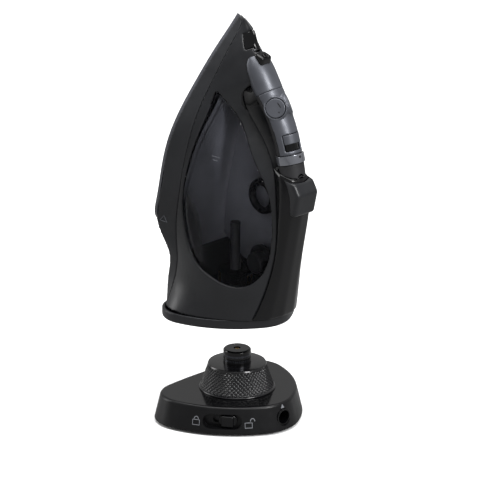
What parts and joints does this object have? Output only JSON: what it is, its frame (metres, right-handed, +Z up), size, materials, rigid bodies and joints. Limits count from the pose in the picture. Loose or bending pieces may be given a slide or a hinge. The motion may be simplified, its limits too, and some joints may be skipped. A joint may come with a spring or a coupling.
{
  "type": "clothes iron",
  "caption": "Steam iron for cordless use, held nose up above the power base that it docks on, with a looped grip, smoked water tank and knurled docking cone.",
  "frame": {"origin": "middle of the whole object's footprint, on the surface that the base's rubber feet stand on", "axes": "+Z up, from the base to the iron's nose; +X towards the iron's handle and the base's cord inlet; Y across the width, with the lock slider towards -Y"},
  "size_m": [0.1442, 0.143, 0.3783],
  "materials": {
    "satin_black": "satin moulded ABS, black",
    "matte_black": "finely textured heat-resistant plastic, black",
    "gloss_black": "polished black ABS",
    "smoked_clear": "smoked transparent polycarbonate",
    "grip_satin": "satin dark grey plastic",
    "grip_rubber": "soft-touch black rubber",
    "collar_grey": "polished dark grey plastic",
    "sole_coating": "ceramic-coated aluminium, charcoal",
    "cast_aluminium": "die-cast",
    "sheathed_steel": "steel sheath, heat-tinted",
    "silicone_red": "silicone gasket",
    "tank_tint": "tinted clear plastic",
    "inner_nylon": "moulded nylon, dark",
    "hose_rubber": "silicone hose, black",
    "board_green": "glass-fibre circuit board",
    "contact_brass": "brass",
    "plain_steel": "zinc-plated steel",
    "foot_rubber": "rubber",
    "mark_grey": "light grey pad print",
    "wire_cover": "glass-fibre sleeve"
  },
  "bodies": {
    "iron": {"body_shell": "satin_black", "burst_spring": "plain_steel", "chamber_gasket": "silicone_red", "control_board": "board_green", "dock_socket": "inner_nylon", "door_pin": "plain_steel", "filler_neck": "tank_tint", "handle_front_cap": "grip_satin", "handle_lower": "grip_rubber", "handle_tail": "grip_rubber", "handle_upper": "grip_satin", "heater_casting": "cast_aluminium", "heating_element": "sheathed_steel", "heel_plate": "satin_black", "heel_screws": "plain_steel", "intake_filter": "inner_nylon", "nozzle_housing": "gloss_black", "pickup_tube": "inner_nylon", "pump_block": "inner_nylon", "pump_hose": "hose_rubber", "rear_block": "gloss_black", "rear_housing": "gloss_black", "selector_neck": "inner_nylon", "skirt": "matte_black", "slider_bed": "gloss_black", "socket_contacts": "contact_brass", "soleplate": "sole_coating", "spray_nozzle": "contact_brass", "spray_spring": "plain_steel", "steam_chamber_cover": "cast_aluminium", "steam_valve": "contact_brass", "tank_window_left": "smoked_clear", "tank_window_right": "smoked_clear", "thermal_fuse": "sheathed_steel", "thermostat": "sheathed_steel", "water_tank": "tank_tint", "wire_harness": "wire_cover"},
    "base": {"base_cover": "satin_black", "base_bottom": "matte_black", "rubber_feet": "foot_rubber", "base_screws": "plain_steel", "knurled_cone": "matte_black", "contact_post": "gloss_black", "contact_rings": "contact_brass", "earth_pin": "contact_brass", "cord_bush": "gloss_black", "terminal_block": "inner_nylon", "lock_icons": "mark_grey", "alignment_mark": "mark_grey", "detent_spring": "plain_steel"},
    "lock": {"lock_slider": "gloss_black", "latch_bar": "inner_nylon"},
    "spray": {"spray_button": "grip_satin"},
    "burst": {"burst_button": "grip_satin"},
    "steam": {"steam_slider": "grip_satin"},
    "selector": {"selector_ring": "collar_grey", "selector_dot": "matte_black"},
    "door": {"filler_door": "gloss_black"}
  },
  "joints": [
    {"name": "dock_slide", "type": "slide", "parent": "iron", "child": "base", "axis": [0, 0, 1], "range_m": [0, 0.0727]},
    {"name": "lock_slide", "type": "slide", "parent": "base", "child": "lock", "axis": [-0.829, -0.5592, 0], "range_m": [0, 0.009]},
    {"name": "spray_press", "type": "slide", "parent": "iron", "child": "spray", "axis": [-0.6022, 0.7071, -0.3706], "range_m": [0, 0.0012], "stiffness_N_per_m": 600, "deforming": ["spray_spring"]},
    {"name": "burst_press", "type": "slide", "parent": "iron", "child": "burst", "axis": [-0.6022, -0.7071, -0.3706], "range_m": [0, 0.0012], "stiffness_N_per_m": 600, "deforming": ["burst_spring"]},
    {"name": "steam_slide", "type": "slide", "parent": "iron", "child": "steam", "axis": [0.3012, 0, -0.9536], "range_m": [0, 0.006]},
    {"name": "selector_turn", "type": "hinge", "parent": "iron", "child": "selector", "pos_m": [0.0496, 0, 0.25963], "axis": [0.2642, 0, -0.9645], "range_deg": [-60, 60]},
    {"name": "door_hinge", "type": "hinge", "parent": "iron", "child": "door", "pos_m": [0.00735, 0, 0.35051], "axis": [0, 1, 0], "range_deg": [0, 95]}
  ]
}
